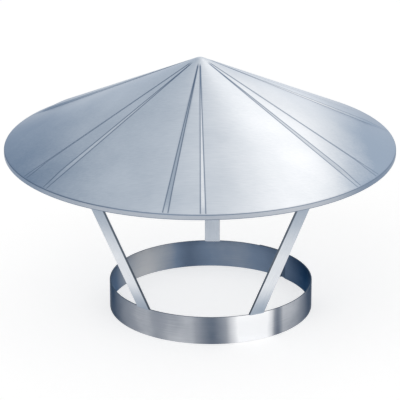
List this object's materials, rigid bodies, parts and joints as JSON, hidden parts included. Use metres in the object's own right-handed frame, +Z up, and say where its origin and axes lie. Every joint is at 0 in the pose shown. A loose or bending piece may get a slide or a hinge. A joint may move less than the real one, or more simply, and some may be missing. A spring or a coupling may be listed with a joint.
{
  "type": "adjustable chimney cap",
  "caption": "Conical ribbed rain hood on three flat straps over a clamping collar, for the end of a round metal flue.",
  "frame": {"origin": "on the collar's axis in the plane of its lower edge", "axes": "+Z up along the flue; -Y is the front, as in the picture; +X is to the right of it"},
  "size_m": [0.3, 0.3, 0.2024],
  "materials": {
    "hood_sheet": "brushed galvanised sheet",
    "collar_sheet": "rolled galvanised strip",
    "strap_steel": "brushed flat strip",
    "zinc_hardware": "bright zinc plate"
  },
  "bodies": {
    "cap": {"hood": "hood_sheet", "front_left_strap": "strap_steel", "front_right_strap": "strap_steel", "rear_strap": "strap_steel", "collar_band": "collar_sheet", "lap_lug": "collar_sheet", "band_lug": "collar_sheet", "clamp_bolt": "zinc_hardware"},
    "washer": {"clamp_washer": "zinc_hardware"},
    "nut": {"clamp_nut": "zinc_hardware"}
  },
  "joints": [
    {"name": "nut_travel", "type": "slide", "parent": "cap", "child": "washer", "axis": [-0.9205, 0.3907, 0], "range_m": [0, 0.0064]},
    {"name": "nut_turn", "type": "hinge", "parent": "washer", "child": "nut", "pos_m": [0.03474, 0.08183, 0.009], "axis": [-0.9205, 0.3907, 0], "range_deg": [0, 2890]}
  ],
  "couplings": [
    {"joint": "nut_turn", "follows": "nut_travel", "rad_per_m": 7854}
  ]
}
